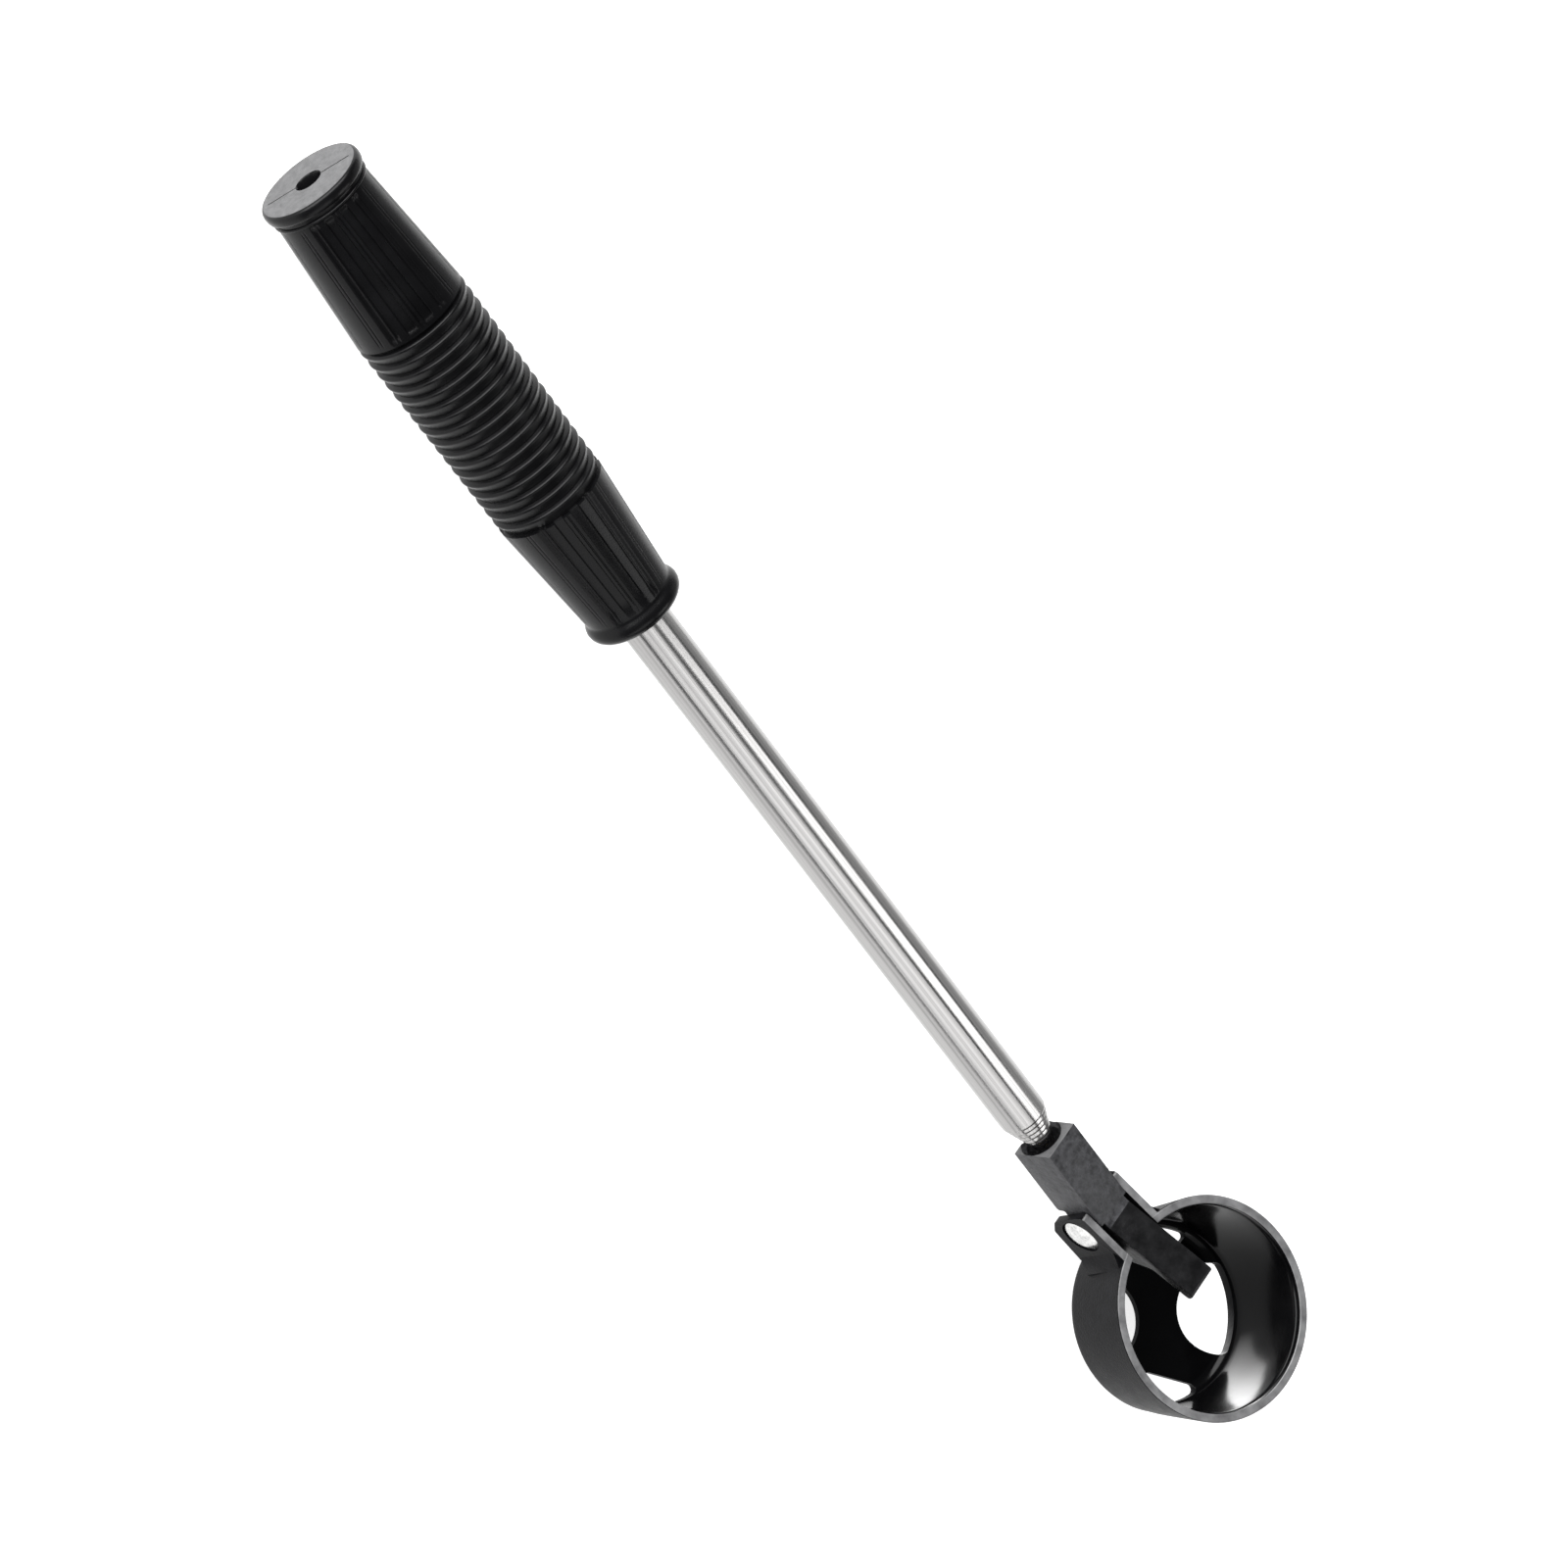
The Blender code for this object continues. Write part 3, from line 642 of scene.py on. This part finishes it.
def arm_cutters():
    """The shoulders beside the tongue, the stepped socket, the pin's hole and the spring's pocket."""
    shoulder = [(301.0, 5.4), (304.0, 3.6), (331.0, 3.6), (331.0, 25.0), (301.0, 14.0)]
    for sign in (-1, 1):
        low, high = sorted((sign * TONGUE_HALF, sign * 6.5))
        yield side_slab("shoulder", shoulder, low, high)
    socket = [(ARM_MOUTH - 1.0, 5.25), (ARM_MOUTH + 0.05, 5.05), (ARM_MOUTH + 1.0, SOCKET_RADIUS)]
    socket += [(ARM_MOUTH + SOCKET_DEPTH, SOCKET_RADIUS), (ARM_MOUTH + SOCKET_DEPTH, SCREW_RADIUS)]
    socket += [(ARM_MOUTH + SCREW_DEPTH, SCREW_RADIUS)]
    yield turn_x("socket", socket, ARM_SKIN, closed=False, count=72)
    yield turn_y("pin_hole", [(-8.0, PIN_HOLE), (8.0, PIN_HOLE)], ARM_SKIN, count=48)
    pocket = [(-POCKET_HALF, POCKET_RADIUS), (POCKET_HALF, POCKET_RADIUS)]
    yield turn_y("spring_pocket", pocket, ARM_SKIN)


def make_arm():
    arm = side_slab("bent_arm", arm_outline(), -ARM_HALF, ARM_HALF)
    for cutter in arm_cutters():
        combine(arm, cutter, "DIFFERENCE")
    soften(arm, 0.28)
    # Rear faces of the mouth: painted light, a lighter copy of the arm's plastic.
    arm.data.materials.append(ARM_END_PAINTED_LIGHT)
    # Tongue: painted shade, a darker copy of the arm's plastic.
    arm.data.materials.append(TONGUE_PAINTED_SHADE)
    mouth, tongue = mm(ARM_MOUTH + 0.5), mm(TONGUE_SHADE_START, 0.0, ARM_TOP)
    for face in arm.data.polygons:
        if face.normal.x < -0.9 and face.center.x < mouth.x:
            face.material_index = MOUTH_PAINTED_LIGHT_FACES
        elif face.center.x > tongue.x and face.center.z > tongue.z:
            face.material_index = TONGUE_SHADE_FACES
    stand_for(arm, "socket_arm", "head")


# ---------------------------------------------------------------- ring cup
EAR_INNER, EAR_OUTER, EAR_END = 5.25, 7.0, -38.0
BASE_RADIUS, BASE_FILLET = 22.4, 3.3
FLOOR_RADIUS, FLOOR_FILLET = 20.98, 3.0
FILLET_STEPS = 6
FLOOR_SHIFT = -1.2            # how far the cup's floor sits behind its rim's centre
WINDOW_ARC = 20.4
WINDOW_CORNER = 9.2
SPOKE_HALF, SPOKE_FLARE = 0.9, 0.047
CUP_COUNT = 192
INNER_ROW = 18                # first row of the glossy inside
RECESS_RADIUS, RECESS_DEPTH = 4.6, 0.5
# Material slots of the cup: the glossy inside, and the rim's top with its painted highlight.
GLOSS_FACES, RIM_HIGHLIGHT_FACES = 1, 2


def blend_rows(rows, depth):
    """Radius and shift of the cup's wall at a depth, from a few (depth, radius, shift) rows."""
    for (d0, r0, s0), (d1, r1, s1) in zip(rows, rows[1:]):
        if depth <= d1:
            t = (depth - d0) / (d1 - d0)
            return r0 + (r1 - r0) * t, s0 + (s1 - s0) * t
    return rows[-1][1], rows[-1][2]


def outside_rows():
    """Rows of (depth below the rim, radius, shift) up the cup's outside, from the middle of its base."""
    wall = ((0.0, RIM_RADIUS, 0.0), (10.0, 23.85, -0.5), (20.4, 22.55, -1.05))
    flat = BASE_RADIUS - BASE_FILLET
    rows = [(CUP_DEPTH, flat - 0.3, FLOOR_SHIFT)]
    for i in range(FILLET_STEPS + 1):
        a = math.radians(90.0 * i / FILLET_STEPS)
        depth = CUP_DEPTH - BASE_FILLET + BASE_FILLET * math.cos(a)
        rows.append((depth, flat + BASE_FILLET * math.sin(a), FLOOR_SHIFT + 0.15 * i / FILLET_STEPS))
    for depth in (16.0, 12.0, 8.0, 4.0, 1.0, 0.35):
        rows.append((depth, *blend_rows(wall, depth)))
    return rows


def rim_rows():
    """Rows over the rim and down its small step inside."""
    insets = ((0.1, 0.12, 0.0), (0.0, 0.35, 0.0), (0.0, 1.2, 0.0), (0.0, 1.75, 0.0))
    insets += ((0.12, 1.95, 0.0), (0.5, 2.0, 0.0), (1.3, 2.03, -0.05), (1.45, 2.2, -0.07))
    return [(depth, RIM_RADIUS - inset, shift) for depth, inset, shift in insets]


def inside_rows():
    """Rows down the cup's inside to its floor."""
    wall = ((0.0, RIM_RADIUS - RIM_WALL, 0.0), (10.0, 22.1, -0.5), (18.6, 21.1, -0.95))
    rows = []
    for depth in (2.2, 5.0, 9.0, 13.0, 17.0, 18.6):
        radius, shift = blend_rows(wall, depth)
        rows.append((depth, radius - 0.12, shift))
    for i in range(1, FILLET_STEPS + 1):
        a = math.radians(90.0 * i / FILLET_STEPS)
        depth = CUP_DEPTH - CUP_FLOOR - FLOOR_FILLET + FLOOR_FILLET * math.sin(a)
        radius = FLOOR_RADIUS - FLOOR_FILLET * (1.0 - math.cos(a))
        rows.append((depth, radius, FLOOR_SHIFT + 0.1 - 0.1 * i / FILLET_STEPS))
    return rows


def cup_loop(depth, radius, shift):
    turns = full_turn(CUP_COUNT)
    return [mm(*ring_point(shift + radius * math.cos(a), radius * math.sin(a), -depth)) for a in turns]


def quarter_window():
    """Outline of a large window: a wide inner corner, two spokes that widen outward and an arc."""
    straight = SPOKE_HALF + WINDOW_CORNER
    corners = sharp_corners(arc((straight, straight), WINDOW_CORNER, 180.0, 270.0, 16))
    for forward in (11.5, 13.0, 14.5, 16.0, 17.0):
        corners.append((forward, SPOKE_HALF + SPOKE_FLARE * (forward - straight) ** 2, 0.0))
    corners += [(18.75, 4.4, 1.6)]
    corners += sharp_corners(arc((FLOOR_SHIFT, 0.0), WINDOW_ARC, 21.0, 68.0, 18))
    corners += [(4.6, 19.5, 1.3), (2.2, 17.4, 2.0), (1.35, 14.0, 0.0)]
    return round_corners(corners)


def cut_off_window():
    """Outline of a small window, cut off by a straight edge across the spokes' corner."""
    corners = [(5.4, -11.8, 1.2), (18.8, -4.9, 1.2)]
    corners += sharp_corners(arc((FLOOR_SHIFT, 0.0), WINDOW_ARC, -27.0, -65.0, 18))
    corners += [(5.4, -19.4, 0.9)]
    return round_corners(corners)


def window_outlines():
    """Two large and two small windows, each pair opposite one another."""
    large, small = quarter_window(), cut_off_window()
    return [large, [(-x, -y) for x, y in large], small, [(-x, -y) for x, y in small]]


def ear_outline():
    corners = [(EAR_END + 0.4, -0.1, 1.0), (EAR_END, -2.5, 0.0), (EAR_END, -11.0, 2.0)]
    corners += [(EAR_END + 2.6, -14.1, 1.2), (-22.6, -15.6, 0.0), (-22.6, -0.1, 0.0)]
    return round_corners(corners)


def cup_cutters():
    """The gap between the ears, the windows, the rivet's hole and the seat of its head."""
    gate = [(-42.0, 2.0), (-42.0, -18.0), (-27.2, -18.0), (-27.2, WEB_TOP), (-17.0, WEB_TOP), (-17.0, 2.0)]
    yield ring_slab("gate", gate, -EAR_INNER, EAR_INNER)
    for outline in window_outlines():
        yield ring_prism("window", outline, -CUP_DEPTH - 2.0, -17.0)
    yield turn_y("ear_hole", [(-9.0, PIN_HOLE), (9.0, PIN_HOLE)], CUP_SATIN, count=48)
    recess = [(-9.0, RECESS_RADIUS), (-EAR_OUTER + RECESS_DEPTH, RECESS_RADIUS)]
    yield turn_y("recess", recess, CUP_SATIN)


def paint_rim_highlight(cup):
    """Paints a highlight on the flat top of the rim and ears with a lighter copy of the cup's plastic."""
    cup.data.materials.append(CUP_RIM_PAINTED_HIGHLIGHT)
    centre = mm(*ring_point(0.0, 0.0, 0.0))
    upward = (mm(*ring_point(0.0, 0.0, 1.0)) - centre).normalized()
    for face in cup.data.polygons:
        if face.normal.dot(upward) > 0.7 and (face.center - centre).dot(upward) > -0.5 * MM:
            face.material_index = RIM_HIGHLIGHT_FACES


def make_cup():
    rows = outside_rows() + rim_rows() + inside_rows()
    bm = bmesh.new()
    skin(bm, [cup_loop(*row) for row in rows])
    cup = mesh_object("ball_cup", bm, CUP_SATIN)
    cup.data.materials.append(CUP_GLOSS)
    base = (len(rows) - 1) * CUP_COUNT
    for face in cup.data.polygons:
        if face.index >= INNER_ROW * CUP_COUNT and face.index != base:
            face.material_index = GLOSS_FACES
    combine(cup, ring_slab("ears", ear_outline(), -EAR_OUTER, EAR_OUTER), "UNION")
    for sign in (-1, 1):
        gusset = [(-27.4, sign * (EAR_OUTER - 0.4)), (-23.0, sign * 8.8), (-21.6, sign * 8.5)]
        gusset += [(-22.3, sign * 6.1), (-26.6, sign * 6.1)]
        combine(cup, ring_prism("gusset", gusset, -14.6, -1.3), "UNION")
    for cutter in cup_cutters():
        combine(cup, cutter, "DIFFERENCE")
    paint_rim_highlight(cup)
    soften(cup, 0.2, sharp=22.0)
    stand_for(cup, "ring_cup", "ring")


# ---------------------------------------------------------------- rivet and hidden nodes
HEAD_RADIUS, HEAD_HEIGHT, HEAD_FLANGE = 4.05, 0.95, 4.22
SHANK_RADIUS = 2.0


def make_rivet():
    seat = -EAR_OUTER + 0.45
    top = seat - HEAD_HEIGHT
    profile = [(top, 0.35)]
    for radius in (1.0, 1.7, 2.4, 3.0, 3.5, 3.85, HEAD_RADIUS):
        profile.append((top + 0.75 * (radius / HEAD_RADIUS) ** 2.6, radius))
    profile += [(seat - 0.1, HEAD_FLANGE), (seat, HEAD_FLANGE), (seat, SHANK_RADIUS)]
    tail = [(0.9, SHANK_RADIUS), (0.9, 2.9), (1.15, 3.0), (1.5, 2.8), (1.75, 2.2), (1.8, 1.2), (1.5, 0.8)]
    tail += [(1.2, 0.3)]
    profile += [(EAR_OUTER + side, radius) for side, radius in tail]
    rivet = turn_y("domed_rivet", profile, RIVET_STEEL, count=72, sharp=35.0)
    stand_for(rivet, "pivot_rivet", "ring")


def finish_hidden_nodes():
    """Better materials for the CAD nodes that stay."""
    looks = {"tube_plug": NYLON, "rod_bush": BRASS, "torsion_spring": SPRING_STEEL}
    looks["rivet_washer"] = RIVET_STEEL
    looks.update({"collar_%d" % index: BRASS for index in range(2, SECTIONS + 1)})
    for node, mat in looks.items():
        obj = frame["nodes"][node]
        obj.data.materials.clear()
        obj.data.materials.append(mat)


# ---------------------------------------------------------------- camera, floor and light
CAMERA_PLACE, CAMERA_TARGET = (-423.6, -528.4, 920.0), (170.84, 2.66, 0.0)
CAMERA_ROLL = math.radians(92.874)
CAMERA_LENS, CAMERA_SENSOR = 134.65, 36.0
FLOOR_DARK, FLOOR_LIGHT = (0.55, 0.55, 0.55), (0.58, 0.58, 0.58)
FLOOR_GLOW = 0.8
FLOOR_REACH, FLOOR_GAP = 3.0, 0.0004
WORLD_COLOUR, WORLD_LEVEL = (0.96, 0.98, 1.0, 1.0), 0.15
UNDER_PANEL_AT, UNDER_PANEL_HEIGHT = (353.4, 10.2), 0.004
UNDER_PANEL_AIM = Vector((0.28, -0.45, 0.85))
UNDER_PANEL_SPREAD = math.radians(85.0)


def place(name, data):
    """Adds a camera or light to the scene."""
    obj = bpy.data.objects.new(name, data)
    bpy.context.scene.collection.objects.link(obj)
    return obj


def aim(obj, target, roll=0.0):
    """Points an object's -Z at a target, then turns it about its own axis."""
    direction = target - obj.location
    turn = direction.to_track_quat("-Z", "Y").to_matrix().to_4x4()
    obj.matrix_world = Matrix.Translation(obj.location) @ turn @ Matrix.Rotation(roll, 4, "Z")


def make_camera():
    camera = bpy.data.cameras.new("camera")
    camera.lens = CAMERA_LENS
    camera.sensor_width = CAMERA_SENSOR
    camera.clip_start = 0.05
    camera.clip_end = 20.0
    obj = place("camera", camera)
    obj.location = mm(*CAMERA_PLACE)
    aim(obj, mm(*CAMERA_TARGET), CAMERA_ROLL)
    bpy.context.scene.camera = obj


def make_floor():
    mat, nodes, links, shader = new_material("pale_floor")
    cloud = stretched_noise(nodes, links, (3.0, 3.0, 3.0), detail=2.0)
    links.new(two_tone(nodes, links, cloud, FLOOR_DARK, FLOOR_LIGHT), shader.inputs["Base Color"])
    shader.inputs["Roughness"].default_value = 0.9
    shader.inputs["Specular IOR Level"].default_value = 0.1
    shader.inputs["Emission Color"].default_value = (1.0, 1.0, 1.0, 1.0)
    shader.inputs["Emission Strength"].default_value = FLOOR_GLOW
    bm = bmesh.new()
    bmesh.ops.create_circle(bm, cap_ends=True, segments=96, radius=FLOOR_REACH)
    floor = mesh_object("floor", bm, mat)
    floor.location.z = -FLOOR_GAP


def area_light(name, along, across, radiance):
    """Rectangular light with the same radiance all over."""
    light = bpy.data.lights.new(name, "AREA")
    light.shape = "RECTANGLE"
    light.size = along
    light.size_y = across
    light.energy = radiance * math.pi * along * across
    return place(name, light)


def softbox(name, centre, along, across, radiance):
    """Large light that faces the shaft's middle, with one edge along the shaft."""
    obj = area_light(name, along, across, radiance)
    back = (Vector(centre) - Vector((0.0, 0.0, AXIS_UP))).normalized()
    right = (Vector((1.0, 0.0, 0.0)) - back * back.x).normalized()
    turn = Matrix((right, back.cross(right), back)).transposed().to_4x4()
    obj.matrix_world = Matrix.Translation(centre) @ turn


def under_panel():
    """Small light just over the floor, which shines up through one of the cup's windows."""
    obj = area_light("under_panel", along=0.018, across=0.0105, radiance=3.0)
    obj.data.spread = UNDER_PANEL_SPREAD
    above = mm(*UNDER_PANEL_AT)
    obj.location = (above.x, above.y, UNDER_PANEL_HEIGHT)
    aim(obj, obj.location + UNDER_PANEL_AIM)
    obj.visible_camera = False


def make_lights():
    world = bpy.data.worlds.new("studio")
    world.use_nodes = True
    background = world.node_tree.nodes["Background"]
    background.inputs["Color"].default_value = WORLD_COLOUR
    background.inputs["Strength"].default_value = WORLD_LEVEL
    bpy.context.scene.world = world
    softbox("overhead_box", (1.10, 0.49, 1.31), along=0.62, across=0.86, radiance=3.8)
    softbox("near_side_box", (1.02, -0.92, 0.889), along=0.68, across=1.55, radiance=2.1)
    softbox("far_side_box", (0.8, 1.3, 0.45), along=2.4, across=0.9, radiance=0.5)
    softbox("grip_box", (0.50, -0.72, 1.06), along=0.3, across=0.9, radiance=0.8)
    softbox("rear_box", (-1.25, -0.2, 0.62), along=1.1, across=2.4, radiance=9.0)
    under_panel()


bpy.context.scene.view_settings.view_transform = "Standard"

make_grip()
make_tubes()
make_rod()
make_arm()
make_cup()
make_rivet()
finish_hidden_nodes()
make_camera()
make_floor()
make_lights()
